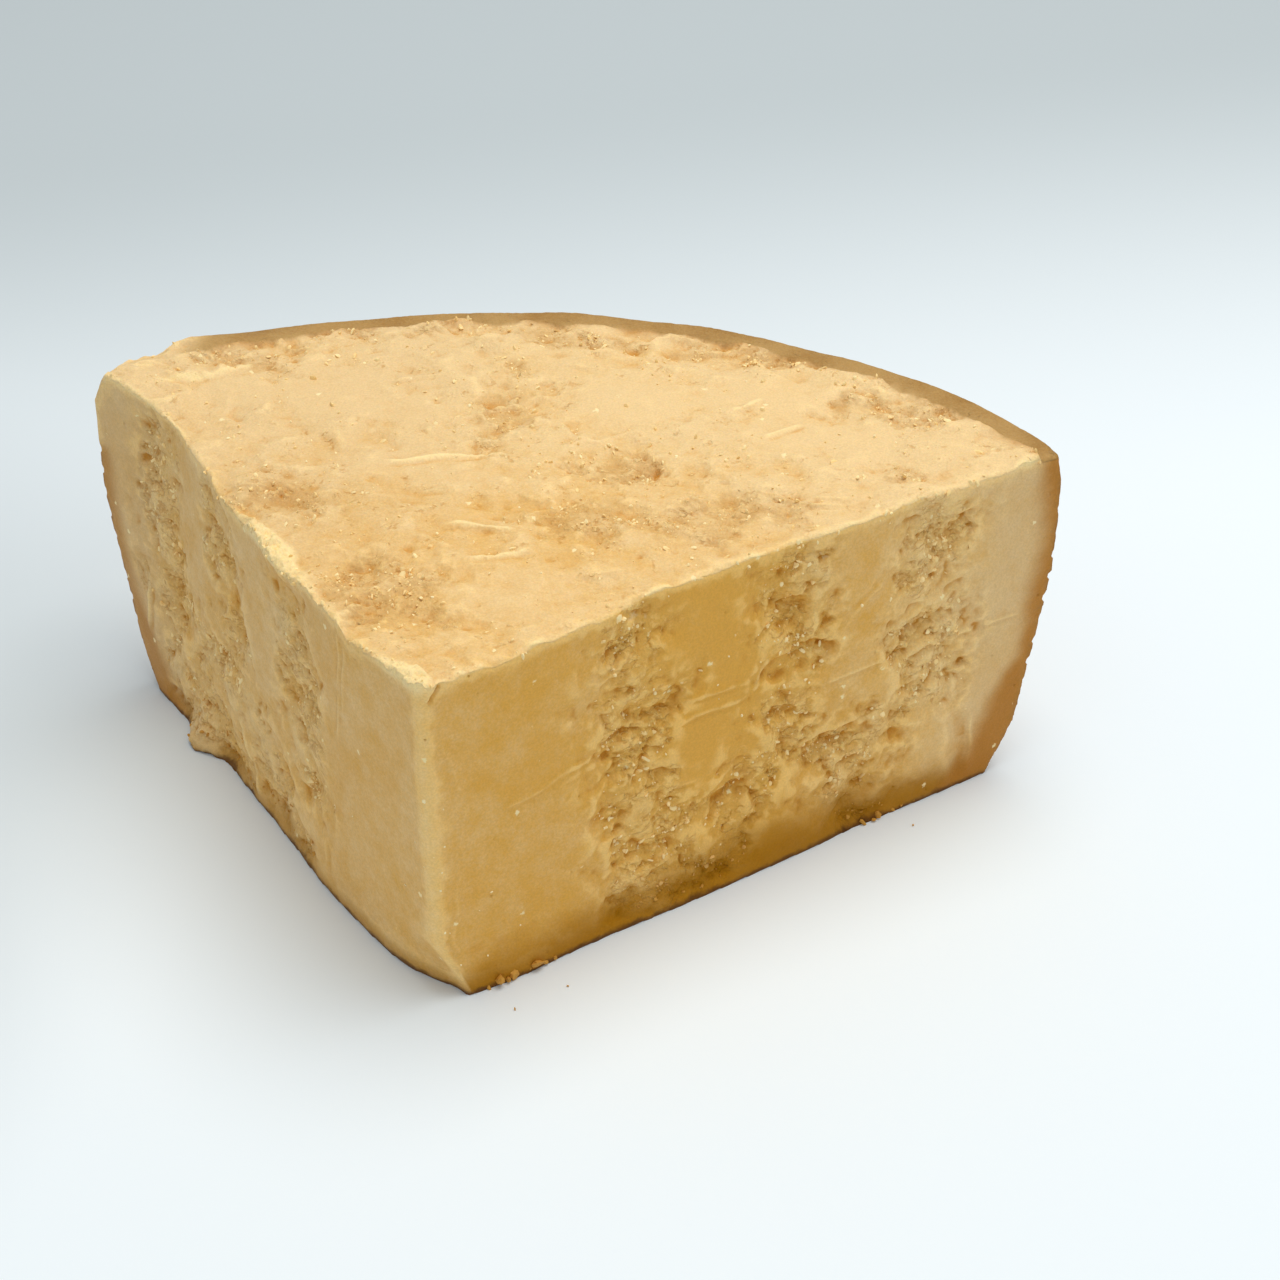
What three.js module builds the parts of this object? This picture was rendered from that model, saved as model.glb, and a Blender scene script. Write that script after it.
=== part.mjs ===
// A chunk of an aged hard cheese wheel: the wheel is split at half its height, then cut twice from
// near its middle to the rind. Two upright cut faces meet in a front edge, the rind runs round the
// back and under the base, and the split face is on top. The cheese breaks in grains, so each cut
// face is part smooth where the knife went and part crag where the cheese tore.
// Millimetres, +Z up, +Y from the front edge towards the rind. The origin is the middle of the base.
import * as THREE from "three";

// Driving dimensions
const wheelRadius = 216.8; // at the widest height of the side
const widestHeight = 76;
const chunkHeight = 118;
const cutAngle = THREE.MathUtils.degToRad(94.4); // between the two cut faces
const wheelAxis = new THREE.Vector2(11.7, -0.6); // the cuts meet a little off the wheel's axis
const sideBelly = 12.5; // how far the side draws in from its widest height down to the base
const topBelly = 1; // and from there up to the split face
const baseBevel = 7; // the side draws in this much more over its lowest baseBevelHeight
const baseBevelHeight = 20;
const edgeRound = 3.2; // worn edges between the cut faces and the top
const rimWidth = 8; // rind seen on the split face
const rimStep = 1.5; // how far that rim lies below the broken cheese beside it
const facet = 4.7; // grid step on the cut faces and the top
const rindFacet = 5.6;
const reliefDepth = 16; // how far below a face its relief still moves the solid
const sweepDepth = 60; // and how far the sweep of the cut does

const halfAngle = cutAngle / 2;
const up = new THREE.Vector3(0, 0, 1);
const rightAlong = new THREE.Vector3(Math.sin(halfAngle), Math.cos(halfAngle), 0);
const rightOut = new THREE.Vector3(Math.cos(halfAngle), -Math.sin(halfAngle), 0);
const leftAlong = new THREE.Vector3(-rightAlong.x, rightAlong.y, 0);
const leftOut = new THREE.Vector3(-rightOut.x, rightOut.y, 0);

// ---- repeatable roughness ----

function hash(i, j, seed) {
  let h = Math.imul(i, 374761393) + Math.imul(j, 668265263) + Math.imul(seed, 974634777);
  h = Math.imul(h ^ (h >>> 13), 1274126177);
  h ^= h >>> 16;
  return (h >>> 0) / 4294967296;
}

function smooth(low, high, x) {
  const t = THREE.MathUtils.clamp((x - low) / (high - low), 0, 1);
  return t * t * (3 - 2 * t);
}

// Gradient noise, about -0.7 to 0.7.
function noise(x, y, seed) {
  const i = Math.floor(x);
  const j = Math.floor(y);
  const fx = x - i;
  const fy = y - j;
  const corner = (a, b) => {
    const turn = 2 * Math.PI * hash(i + a, j + b, seed);
    return Math.cos(turn) * (fx - a) + Math.sin(turn) * (fy - b);
  };
  const sx = smooth(0, 1, fx);
  const sy = smooth(0, 1, fy);
  const low = corner(0, 0) * (1 - sx) + corner(1, 0) * sx;
  const high = corner(0, 1) * (1 - sx) + corner(1, 1) * sx;
  return low * (1 - sy) + high * sy;
}

// Broken grains: each is a facet of its own height that leans out at its foot, with a crevice round it.
function grains(x, y, size, seed) {
  const gx = x / size;
  const gy = y / size;
  let near = 9;
  let next = 9;
  let found = null;
  for (let i = Math.floor(gx) - 1; i <= Math.floor(gx) + 1; i++)
    for (let j = Math.floor(gy) - 1; j <= Math.floor(gy) + 1; j++) {
      const dx = gx - i - hash(i, j, seed);
      const dy = gy - j - hash(i, j, seed + 1);
      const distance = Math.hypot(dx, dy);
      if (distance < near) {
        next = near;
        near = distance;
        found = { dx, dy, rise: hash(i, j, seed + 2) - 0.5, turn: hash(i, j, seed + 3) - 0.5 };
      } else if (distance < next) next = distance;
    }
  const lean = -0.7 * found.dy + 0.9 * found.turn * found.dx;
  return 0.9 * found.rise + lean - 0.5 * (1 - smooth(0, 0.3, next - near));
}

function bell(x, middle, width) {
  return Math.exp(-(((x - middle) / width) ** 2));
}

// ---- where each face is torn: [along, up, half length, half height] ----

const rightTears = [
  [69, 100, 14, 24], [73, 72, 14, 18], [70, 45, 15, 18], [76, 27, 18, 16], [104, 26, 15, 17],
  [123, 104, 13, 20], [131, 88, 14, 14], [128, 74, 17, 9], [122, 55, 16, 16], [128, 38, 20, 16],
  [148, 30, 18, 18], [153, 8, 18, 11], [176, 104, 12, 18], [172, 82, 15, 16], [172, 58, 19, 19],
  [176, 45, 15, 12], [191, 16, 4, 18],
];
const leftTears = [
  [75, 98, 12, 18], [76, 76, 14, 18], [75, 56, 14, 14], [72, 38, 12, 14], [124, 110, 13, 14],
  [126, 85, 13, 20], [122, 60, 14, 20], [130, 40, 22, 14], [100, 20, 18, 18], [125, 13, 20, 14],
  [172, 100, 13, 18], [172, 75, 14, 22], [170, 48, 17, 20], [160, 25, 22, 20], [140, 8, 20, 12],
];
const topTears = [
  [-65, 84, 22, 14], [-20, 42, 28, 24], [45, 94, 40, 20], [30, 122, 26, 11], [-12, 150, 15, 32],
  [-5, 194, 46, 9], [110, 168, 28, 12], [-102, 160, 24, 13], [118, 134, 9, 9],
];
// Pockets where a whole lump came away: [along, up, half length, half height, depth]
const rightPockets = [
  [76, 79, 12, 6, 3.6], [68, 103, 9, 5, 2.4], [128, 76, 15, 6, 5], [127, 93, 8, 7, 2.6],
  [103, 35, 9, 8, 3.8], [147, 40, 12, 4, 4], [127, 60, 8, 6, 2.6], [175, 70, 9, 6, 2.8],
  [152, 16, 9, 7, 3], [180, 88, 6, 8, 2],
];
const leftPockets = [
  [75, 68, 9, 8, 2.4], [118, 72, 7, 12, 3], [122, 96, 7, 8, 2.4], [168, 84, 8, 10, 2.4],
  [164, 44, 10, 6, 2.6], [92, 26, 8, 10, 2.8], [140, 20, 9, 8, 2.6],
];

// 1 in the middle of a torn zone, 0 on smooth cheese, with a ragged border between.
function tornShare(tears, x, y, seed) {
  let inside = -9;
  for (const [x0, y0, w, h] of tears)
    inside = Math.max(inside, 1 - Math.hypot((x - x0) / w, (y - y0) / h));
  inside += 0.3 * noise(x / 14, y / 14, seed) + 0.22 * noise(x / 6, y / 6, seed + 1);
  return smooth(0, 0.22, inside);
}

function pocketDepth(pockets, x, y) {
  let depth = 0;
  for (const [x0, y0, w, h, d] of pockets)
    depth = Math.max(depth, d * (1 - smooth(0.45, 1.1, Math.hypot((x - x0) / w, (y - y0) / h))));
  return depth;
}

// Relief of torn cheese, in mm along the face's outward normal. It lies mostly below the cut.
function crag(x, y, seed) {
  const wx = x + 4 * noise(x / 17, y / 17, seed + 5);
  const wy = y + 4 * noise(x / 17, y / 17, seed + 6);
  const relief = 2.9 * grains(wx, wy * 1.15, 13, seed) + 1.6 * grains(wx, wy * 1.2, 6.5, seed + 10) - 1.5;
  return relief > 0 ? 0.4 * relief : relief;
}

// The slow sweep of each cut, where the knife wandered.
function rightSweep(u, z) {
  const rise = THREE.MathUtils.clamp(z / chunkHeight, 0, 1);
  const high = 7 * bell(u, 100, 50) + 3 * bell(u, 180, 30);
  const low = 2.2 * bell(u, 80, 60);
  return low * (1 - rise) - high * rise ** 1.5 + 0.7 * noise(u / 40, z / 40, 3);
}

function leftSweep(u, z) {
  const rise = THREE.MathUtils.clamp(z / chunkHeight, 0, 1);
  const high = 8.5 * bell(u, 164, 37) - 2 * bell(u, 37, 18);
  const low = 3 * bell(u, 60, 40) - 7.5 * bell(u, 0, 14);
  return low * (1 - rise) - high * rise ** 1.5 + 0.7 * noise(u / 40, z / 40, 4);
}

function topSwell(x, y) {
  const leftCorner = 3 * bell(Math.hypot(x + 128, y - 160), 0, 42);
  const rightCorner = 2 * bell(Math.hypot(x - 135, y - 175), 0, 45);
  const back = 2.4 * bell(x, 12, 55) * smooth(150, 215, y);
  return leftCorner + rightCorner - back + 1.6 * noise(x / 46, y / 46, 5) + 0.8 * noise(x / 20, y / 20, 6);
}

function rightRelief(u, z) {
  const torn = tornShare(rightTears, u, z, 21) * (1 - 0.7 * bell(z, chunkHeight, 7));
  return torn * crag(u, z, 31) - pocketDepth(rightPockets, u, z);
}

function leftRelief(u, z) {
  const lip = 2.6 * bell(u, 77, 13) * bell(z, chunkHeight, 5);
  const lump = 5 * bell(u, 152, 9) * bell(z, 2, 9);
  const torn = tornShare(leftTears, u, z, 41) * (1 - 0.7 * bell(z, chunkHeight, 7));
  return 0.8 * torn * crag(u, z, 51) - pocketDepth(leftPockets, u, z) + lip + lump;
}

function topRelief(x, y) {
  const fromRind = reach(Math.atan2(x, y)) - sideDrop(chunkHeight) - Math.hypot(x, y);
  const rimEdge = rimWidth + 3 * noise(x / 13, y / 13, 7);
  const onRim = 1 - smooth(rimEdge - 1.5, rimEdge + 2, fromRind);
  const besideRim = 0.5 * rimStep * smooth(40, 5, fromRind);
  const broken = 0.5 * tornShare(topTears, x, y, 61) * crag(x, y, 71) + besideRim;
  return broken * (1 - onRim) - 0.5 * rimStep * onRim;
}

// ---- the plain chunk ----

// From the front edge to the widest part of the side, at an angle clockwise from +Y.
function reach(angle) {
  const along = Math.sin(angle) * wheelAxis.x + Math.cos(angle) * wheelAxis.y;
  return along + Math.sqrt(wheelRadius ** 2 - wheelAxis.lengthSq() + along ** 2);
}

// How far the side has drawn in at a height.
function sideDrop(z) {
  const below = Math.max(widestHeight - z, 0) / widestHeight;
  const above = Math.max(z - widestHeight, 0) / (chunkHeight - widestHeight);
  const foot = Math.max(baseBevelHeight - z, 0) / baseBevelHeight;
  return sideBelly * below ** 1.15 + topBelly * above ** 2 + baseBevel * foot ** 1.3;
}

function plainPoint(angle, share, z) {
  const far = share * (reach(angle) - sideDrop(z));
  return new THREE.Vector3(far * Math.sin(angle), far * Math.cos(angle), z);
}

// Steps from 0 to whole, with one narrow step at each end for the worn edges.
function steps(whole, step, end) {
  const count = Math.max(1, Math.round((whole - 2 * end) / step));
  const inner = Array.from({ length: count + 1 }, (_, i) => end + ((whole - 2 * end) * i) / count);
  return [0, ...inner, whole];
}

// Joins two rows of points by triangles. Each row is a list of { at, point }, at running from 0 to 1.
function stitch(triangles, low, high) {
  let i = 0;
  let j = 0;
  while (i < low.length - 1 || j < high.length - 1) {
    const nextLow = i < low.length - 1 ? low[i + 1].at : Infinity;
    const nextHigh = j < high.length - 1 ? high[j + 1].at : Infinity;
    if (nextLow <= nextHigh) {
      triangles.push(low[i].point, low[i + 1].point, high[j].point);
      i++;
    } else {
      triangles.push(low[i].point, high[j + 1].point, high[j].point);
      j++;
    }
  }
}

function stitchAll(triangles, rows) {
  for (let i = 1; i < rows.length; i++) stitch(triangles, rows[i - 1], rows[i]);
}

// A solid from triangles that share their corner points.
function solidOf(triangles) {
  const indexOf = new Map();
  for (const point of triangles) if (!indexOf.has(point)) indexOf.set(point, indexOf.size);
  const geometry = new THREE.BufferGeometry().setFromPoints([...indexOf.keys()]);
  return geometry.setIndex(triangles.map((point) => indexOf.get(point)));
}

function plainChunk() {
  const longest = reach(halfAngle) - sideDrop(chunkHeight);
  const shares = steps(longest, facet, edgeRound).map((u) => u / longest);
  const cutHeights = steps(chunkHeight, facet, edgeRound);
  const sideHeights = [0, 5, 12, 22, 38, 57, 76, 97];
  const triangles = [];

  const upright = (angle, share, heights) =>
    heights.map((z) => ({ at: z / chunkHeight, point: plainPoint(angle, share, z) }));
  const rightColumns = shares.map((share) => upright(halfAngle, share, cutHeights));
  const leftColumns = shares.map((share) => upright(-halfAngle, share, cutHeights));
  leftColumns[0] = rightColumns[0];

  // Rows of the top run round from the left cut face to the right one.
  const rows = shares.map((share, i) => {
    if (i === 0) return [rightColumns[0].at(-1)];
    const radius = share * longest;
    const step = (share === 1 ? rindFacet : facet) / radius;
    const angles = steps(cutAngle, step, Math.min(edgeRound / radius, halfAngle / 2));
    const row = angles.map((a) => {
      const point = plainPoint(a - halfAngle, share, chunkHeight);
      return { at: a / cutAngle, point };
    });
    row[0] = { at: 0, point: leftColumns[i].at(-1).point };
    row[row.length - 1] = { at: 1, point: rightColumns[i].at(-1).point };
    return row;
  });
  const sideColumns = rows.at(-1).map(({ at, point }) => [
    ...upright(at * cutAngle - halfAngle, 1, sideHeights),
    { at: 1, point },
  ]);
  sideColumns[0] = leftColumns.at(-1);
  sideColumns[sideColumns.length - 1] = rightColumns.at(-1);

  stitchAll(triangles, rightColumns.toReversed());
  stitchAll(triangles, leftColumns);
  stitchAll(triangles, rows);
  stitchAll(triangles, sideColumns);

  const outline = [rightColumns, sideColumns.toReversed().slice(1), leftColumns.toReversed().slice(1)]
    .flat()
    .map((column) => column[0].point);
  const middle = new THREE.Vector3(0, wheelRadius / 2, 0);
  for (let i = 1; i < outline.length; i++) triangles.push(middle, outline[i], outline[i - 1]);
  return solidOf(triangles);
}

// ---- wear and relief on the plain chunk ----

// Wears the right-angled edges round: a point in the corner moves onto the arc.
function roundEdges(p) {
  const faces = [rightOut, leftOut, up];
  const depths = [-p.dot(rightOut), -p.dot(leftOut), chunkHeight - p.z];
  const near = depths.map((d) => Math.max(edgeRound - d, 0));
  const far = Math.hypot(...near);
  if (far > edgeRound)
    faces.forEach((out, i) => p.addScaledVector(out, -near[i] * (1 - edgeRound / far)));
}

// A corner knocked off along a plane.
function knockOff(p, through, out) {
  const beyond = p.clone().sub(through).dot(out);
  if (beyond > 0) p.addScaledVector(out, -beyond);
}

const chips = [
  { through: new THREE.Vector3(-145.7, 133.3, 121.5), out: new THREE.Vector3(-0.82, 0.23, 0.525) },
  { through: new THREE.Vector3(160.8, 150, chunkHeight), out: new THREE.Vector3(0.81, 0.563, 0.16) },
].map(({ through, out }) => ({ through, out: out.normalize() }));

// Moves a point by the sweep and the relief of each face it lies near.
function weather(p) {
  const u = p.dot(rightAlong);
  const v = p.dot(leftAlong);
  const depths = [-p.dot(rightOut), -p.dot(leftOut), chunkHeight - p.z];
  const sweeps = [rightSweep(u, p.z), leftSweep(v, p.z), topSwell(p.x, p.y)];
  const reliefs = [rightRelief(u, p.z), leftRelief(v, p.z), topRelief(p.x, p.y)];
  roundEdges(p);
  [rightOut, leftOut, up].forEach((out, i) => {
    const sweep = sweeps[i] * (1 - smooth(0, sweepDepth, depths[i]));
    p.addScaledVector(out, sweep + reliefs[i] * (1 - smooth(0, reliefDepth, depths[i])));
  });
  for (const { through, out } of chips) knockOff(p, through, out);
}

function cheeseChunk() {
  const geometry = plainChunk();
  const position = geometry.getAttribute("position");
  const p = new THREE.Vector3();
  for (let i = 0; i < position.count; i++) {
    p.fromBufferAttribute(position, i);
    weather(p);
    position.setXYZ(i, p.x, p.y, p.z);
  }
  geometry.computeBoundingBox();
  geometry.computeVertexNormals();
  const cheese = new THREE.MeshStandardMaterial({ color: 0xdcb679, roughness: 0.6, metalness: 0 });
  const mesh = new THREE.Mesh(geometry, cheese);
  mesh.name = "cheese_chunk";
  const centre = geometry.boundingBox.getCenter(new THREE.Vector3());
  mesh.position.set(-centre.x, -centre.y, 0);
  return mesh;
}

const chunk = new THREE.Group();
chunk.add(cheeseChunk());

export default chunk;
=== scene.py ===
# A chunk of aged hard cheese: one piece in place of the CAD solid, with crumbs on it and at its
# foot, on a pale floor under soft light. Shapes are worked out in millimetres from the foot of the
# front edge: x across, y back, z up, u along the right cut face and v along the left one.
import math

import bpy
import numpy as np
from mathutils import Euler, Matrix, Vector


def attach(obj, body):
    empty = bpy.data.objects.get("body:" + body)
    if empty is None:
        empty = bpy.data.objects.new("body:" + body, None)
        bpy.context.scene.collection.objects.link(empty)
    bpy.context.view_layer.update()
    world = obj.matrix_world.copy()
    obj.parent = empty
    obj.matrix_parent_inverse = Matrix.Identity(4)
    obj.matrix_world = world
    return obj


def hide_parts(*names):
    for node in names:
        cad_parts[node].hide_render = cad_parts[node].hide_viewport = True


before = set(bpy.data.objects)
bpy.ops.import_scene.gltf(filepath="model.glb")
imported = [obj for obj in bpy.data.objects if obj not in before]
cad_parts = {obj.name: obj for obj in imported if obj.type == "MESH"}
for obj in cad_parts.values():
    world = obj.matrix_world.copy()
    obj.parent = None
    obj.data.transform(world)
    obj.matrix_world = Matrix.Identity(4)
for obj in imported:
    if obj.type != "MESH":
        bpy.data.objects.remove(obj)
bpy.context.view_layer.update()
mm = 0.001

chunk = {
    "frontEdge": (-6.63, -108.9),  # where the two cuts meet, in the frame
    "wheelRadius": 216.8,
    "wheelSides": 240,
    "wheelAxis": (11.7, -0.6),
    "height": 118,
    "widestHeight": 76,
    "sideLevels": [5, 12, 20, 32, 46, 60, 76, 97],
    "cutAngle": 94.4,
    "sideBelly": 12.5,
    "topBelly": 1,
    "baseBevel": 7,
    "baseBevelHeight": 20,
    "edgeRound": 1.6,
    "frontRound": 3.6,
    "rimWidth": 8,
    "rimStep": 1.5,
    "reliefDepth": 16,  # how deep the relief of a face moves the cheese
    "sweepDepth": 60,  # and the sweep of the cut
    # corners knocked off: a place on the break, and which way it faces
    "leftChip": ((-145.7, 133.3, 121.5), (-0.82, 0.23, 0.525)),
    "rightChip": ((162.3, 151.2, 119), (0.81, 0.563, 0.16)),
    # a torn part: how wide and how high each kind of bump is
    "swellSize": 15,
    "swellHeight": 5.5,
    "lumpSize": 6.5,
    "lumpHeight": 1.4,
    "ledgePitch": 5,
    "ledgeHeight": 1.1,
    "crackDepth": 1.1,
    "flakeSize": 2.4,
    "flakeHeight": 0.8,
    "grainSize": 1.5,
    "hollowShare": 0.65,  # how much of their depth the hollows keep
    # the rind
    "rindDepth": 8,
    "rindShrink": 0.4,
    "rindRoughness": 0.6,
    "dimplesApart": 4.2,
    "dimpleRow": 4,
    "dimpleDepth": 1.2,
    # what the material reads
    "topDepth": 9,  # how deep a point still counts as top
    "smoothing": 14,  # steps, to find hollows
    "frontHighlightWidth": 2.8,  # how wide the painted highlight down the front edge is
    "rightEdgeHighlight": 0.8,  # and how strong the painted highlight along the top edges is
    "leftEdgeHighlight": 0.45,
    "paleCrumbly": 0.9,
    "voxel": 0.52,
    "triangles": 194000,
}
# The faces. A place is along and up a cut face, or across and back on the top.
# tears: middle, half length, half height. pockets, where a lump came away: those, then depth.
# roofs, short overhangs with a hollow under them: middle, half length, depth, tilt.
# ridges that the knife raised, or grooves where negative: from, to, width, height.
# outAtFoot and inAtTop, the sweep of a cut: by how much, middle, width.
rightFace = {
    "seed": 21,
    "sweepSeed": 3,
    "outAtFoot": [(2.2, 80, 60)],
    "inAtTop": [(7, 100, 50), (3, 180, 30)],
    "tears": [
        (70, 104, 18, 22), (72, 85, 19, 17), (70, 65, 17, 17), (71, 47, 18, 16), (76, 28, 22, 17),
        (66, 14, 10, 12), (104, 30, 15, 14), (125, 106, 15, 24), (126, 89, 17, 14),
        (130, 74, 17, 10), (124, 60, 17, 13), (120, 47, 18, 13), (143, 35, 26, 13),
        (150, 22, 18, 18), (152, 6, 20, 11), (176, 106, 17, 22), (175, 88, 18, 17),
        (176, 70, 18, 17), (177, 52, 17, 18), (116, 42, 20, 12), (160, 40, 14, 14),
        (84, 12, 22, 11), (104, 10, 12, 9),
    ],
    "pockets": [
        (76, 79, 12, 6, 3.6), (68, 103, 9, 5, 2.4), (128, 76, 15, 6, 3), (127, 93, 8, 7, 2.6),
        (103, 35, 9, 8, 3.8), (147, 40, 12, 4, 4), (127, 60, 8, 6, 2.6), (175, 70, 9, 6, 2.8),
        (152, 16, 9, 7, 3), (180, 88, 6, 8, 2),
    ],
    "roofs": [
        (66, 74, 8, 2.6, 0), (59, 83, 4, 1.6, 0.2), (77, 65, 6, 1.8, -0.2), (59, 60, 4, 1.8, 0.1),
        (80, 55, 5, 2, -0.3), (66, 104, 5, 1.8, 0.2), (73, 115, 5, 1.5, -0.3),
        (61, 96, 4, 1.5, 0.1), (84, 47, 5, 1.4, 0.3), (64, 40, 5, 1.3, 0.1),
        (123, 79, 9, 2.6, 0.1), (136, 81, 6, 2.4, -0.3), (128, 97, 5, 2.2, 0.2),
        (117, 92, 4, 1.8, 0.5), (134, 102, 4, 1.6, -0.3), (122, 60, 7, 2.2, 0.1),
        (130, 56, 5, 1.8, -0.2), (103, 37, 7, 3.2, 0.1), (110, 33, 5, 2.4, -0.3),
        (98, 31, 4, 2, 0.3), (140, 43, 9, 3, -0.15), (150, 44, 6, 2.2, 0.3), (116, 46, 5, 1.5, 0),
        (148, 30, 5, 2, 0.2), (142, 22, 4, 2, 0.1), (154, 18, 5, 2, -0.2), (147, 12, 4, 1.6, 0.2),
        (158, 6, 5, 1.8, 0.1), (168, 112, 6, 1.8, 0), (176, 106, 5, 1.6, 0.2),
        (171, 97, 5, 1.6, -0.1), (181, 96, 5, 1.6, 0.2), (170, 81, 6, 2.2, 0.1),
        (178, 89, 5, 2, 0.2), (186, 84, 4, 1.8, 0.1), (164, 78, 4, 1.6, -0.2),
        (173, 72, 6, 2, 0.3), (183, 74, 5, 2, 0.1), (166, 65, 5, 1.8, 0.1), (176, 62, 6, 1.8, 0),
        (186, 62, 4, 1.6, 0.2), (170, 52, 6, 1.6, 0.1), (181, 50, 5, 1.5, -0.1),
        (89, 33, 4, 1.4, 0.1), (76, 20, 5, 1.6, 0.2),
    ],
    "ridges": [
        (6, 97, 12, 75, 1, 0.25), (10, 52, 4, 9, 0.9, 0.2), (8, 117, 3.5, 111, 0.8, -0.9),
        (12, 77, 10, 50, 1, 0.15), (190, 34, 193, 0, 3, -0.6), (196, 30, 197, 2, 1.6, 0.5),
        (22, 64, 56, 71, 0.9, 0.35), (135, 64, 168, 65, 0.8, 0.4), (185, 64, 214, 63, 0.8, 0.4),
        (84, 69, 113, 69, 0.8, 0.4), (84, 75, 113, 75, 0.8, 0.35), (113, 69, 118, 81, 1, 0.5),
        (140, 80, 166, 104, 1, -0.3),
    ],
    "ridgeSeed": 26,
    "ridgeHighlightFrom": 0.25,  # a ridge higher than this gets a painted highlight
}
leftFace = {
    "seed": 41,
    "sweepSeed": 4,
    "outAtFoot": [(3, 60, 40)],
    "inAtTop": [(8.5, 164, 37), (-2, 37, 18)],
    "relief": 0.85,
    "tears": [
        (73, 98, 14, 20), (72, 76, 17, 18), (71, 55, 17, 16), (68, 38, 14, 13), (100, 20, 20, 18),
        (84, 8, 14, 10), (127, 110, 15, 18), (126, 88, 16, 20), (122, 64, 17, 20),
        (128, 42, 22, 15), (125, 13, 14, 16), (140, 14, 18, 20), (172, 102, 15, 18),
        (172, 78, 16, 22), (168, 50, 20, 20), (156, 25, 22, 18), (161, 5, 14, 12),
    ],
    "pockets": [
        (75, 68, 9, 8, 2.4), (118, 72, 7, 12, 3), (122, 96, 7, 8, 2.4), (168, 84, 8, 10, 2.4),
        (164, 44, 10, 6, 2.6), (92, 26, 8, 10, 2.8), (140, 20, 9, 8, 2.6),
    ],
    "roofs": [
        (67, 84, 5, 2.2, 0.3), (63, 94, 4, 1.8, 0.3), (78, 80, 4, 1.8, -0.1),
        (61, 72, 4, 1.8, 0.2), (73, 42, 6, 1.2, 0.1), (77, 57, 5, 1.3, 0.2),
        (124, 90, 5, 2.2, 0.3), (113, 79, 4, 2.4, 0.2), (124, 67, 7, 2.8, 0.1),
        (116, 50, 6, 2.4, 0.4), (130, 51, 5, 1.8, 0.1), (129, 118, 5, 1.6, 0.1),
        (136, 100, 4, 1.4, 0.2), (163, 91, 5, 1.8, 0.3), (162, 72, 5, 1.8, 0.2),
        (169, 56, 6, 2.2, 0.5), (175, 39, 7, 2.6, 0.6), (176, 102, 5, 1.4, 0.2),
        (174, 80, 5, 1.6, 0.1), (133, 14, 4, 2, 0.2), (135, 4, 4, 2, 0.1), (92, 26, 6, 2, 0.2),
        (100, 12, 6, 1.6, -0.1), (150, 30, 6, 1.8, 0.3), (156, 14, 5, 1.8, 0.1),
    ],
    "ridges": [
        (48, 70, 43, 92, 0.8, 0.4), (43, 92, 40, 115, 0.8, 0.4), (42, 82, 36, 115, 0.8, 0.35),
        (112, 2, 122, 33, 1.4, 0.9), (60, 8, 60, 22, 1, -0.4), (185, 55, 188, 24, 1.2, 0.8),
    ],
    "ridgeSeed": 46,
    "ridgeHighlightFrom": 0.15,
}
topFace = {
    "seed": 61,
    "rimHeight": 0.4,
    "tears": [
        (-68, 86, 18, 14), (-20, 42, 26, 26), (45, 94, 42, 20), (32, 122, 26, 12),
        (-12, 150, 14, 32), (-5, 196, 46, 8), (110, 168, 26, 12), (-102, 160, 24, 13),
        (118, 134, 9, 9), (60, 196, 40, 8), (75, 108, 20, 12), (-80, 188, 30, 8),
    ],
    # patches that broke smooth, given as tears
    "smooth": [
        (16, 50, 17, 21), (-30, 112, 26, 13), (-72, 148, 22, 18), (-48, 142, 20, 12),
        (25, 160, 26, 18), (78, 150, 18, 14), (70, 172, 26, 12), (100, 146, 14, 12),
        (-10, 84, 14, 7), (-100, 138, 16, 12),
    ],
    "smoothSeed": 63,
    # pits: middle, reach, depth
    "pits": [
        (40, 124, 7, 2.6), (35, 130, 5, 1.8), (23, 113, 5, 1.4), (15, 118, 6, 1.2),
        (-3, 166, 6, 1.6), (-25, 188, 3, 2.2), (-54, 76, 5, 2.2), (-69, 86, 6, 1.8),
        (-78, 96, 6, 1.2), (-60, 92, 5, 1.2), (1, 139, 4, 1.2), (86, 172, 6, 1.4),
        (-104, 168, 5, 1.3), (60, 128, 4, 1), (30, 88, 5, 1.2), (12, 95, 5, 1.2),
        (36, 76, 5, 1.1), (-80, 170, 5, 1.1), (120, 160, 5, 1.2), (-40, 60, 4, 1),
        (-26, 40, 4, 1),
    ],
    "ridges": [
        (-45, 110, -5, 123, 1.3, 0.9), (-27, 97, -19, 98, 1, 0.5), (-15, 80, 9, 82, 1.1, 0.8),
        (-5, 62, 16, 71, 1.1, 0.8), (59, 160, 68, 169, 1.2, 0.7), (69, 144, 83, 158, 1.2, 0.7),
        (-57, 156, -35, 165, 1, 0.5), (-69, 174, -62, 177, 1.2, 0.5),
        (-27, 168, -13, 140, 2.2, -0.7), (-140, 144, -131, 147, 1.2, 0.7),
        (-118, 141, -98, 158, 2.2, 0.7), (-129, 139, -114, 145, 2.4, 0.7),
        (7, 144, 15, 136, 1.2, -0.7), (91, 108, 103, 110, 0.8, 0.5),
        (92, 112, 106, 114, 0.8, 0.5), (19, 68, 33, 36, 1, -0.3), (-22, 165, 4, 140, 2.4, 0.4),
    ],
    "ridgeSeed": 98,
    "ridgeHighlightFrom": 0.35,
}

halfAngle = math.radians(chunk["cutAngle"]) / 2
rightAlong = np.array([math.sin(halfAngle), math.cos(halfAngle), 0])
rightOut = np.array([math.cos(halfAngle), -math.sin(halfAngle), 0])
leftAlong = rightAlong * [-1, 1, 1]
leftOut = rightOut * [-1, 1, 1]
outwards = (rightOut, leftOut, np.array([0, 0, 1]))


# Repeatable roughness: every layer of it has a seed of its own

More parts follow.
